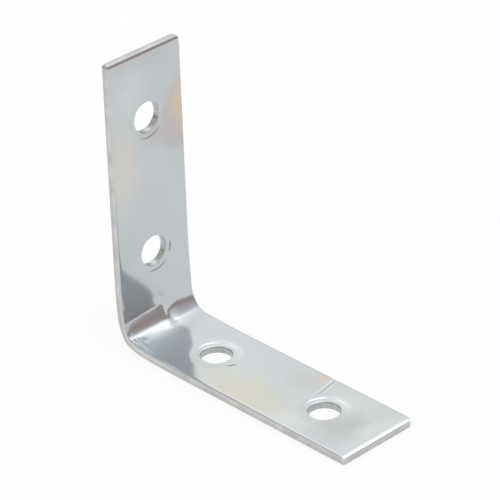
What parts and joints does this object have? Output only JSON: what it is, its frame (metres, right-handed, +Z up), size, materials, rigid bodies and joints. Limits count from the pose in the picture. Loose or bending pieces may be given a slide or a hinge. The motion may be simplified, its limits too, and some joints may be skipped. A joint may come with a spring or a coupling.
{
  "type": "corner brace",
  "caption": "Flat steel strip folded to a right angle, with shallow countersunk screw holes along both legs, for bracing the inside of a corner joint.",
  "frame": {"origin": "centre of the bounding box's underside, which is the middle of the level leg's outer face, on the strip's centre line", "axes": "+X along the level leg, from the fold to its free end; +Y across the strip; +Z up the upright leg, which stands at the -X end"},
  "size_m": [0.0506, 0.015, 0.0505],
  "materials": {
    "zinc_plated_steel": "bright zinc plate, smooth and softly mirror-like, with a faint blue to straw cast"
  },
  "bodies": {
    "root": {"corner_brace": "zinc_plated_steel"}
  },
  "joints": []
}
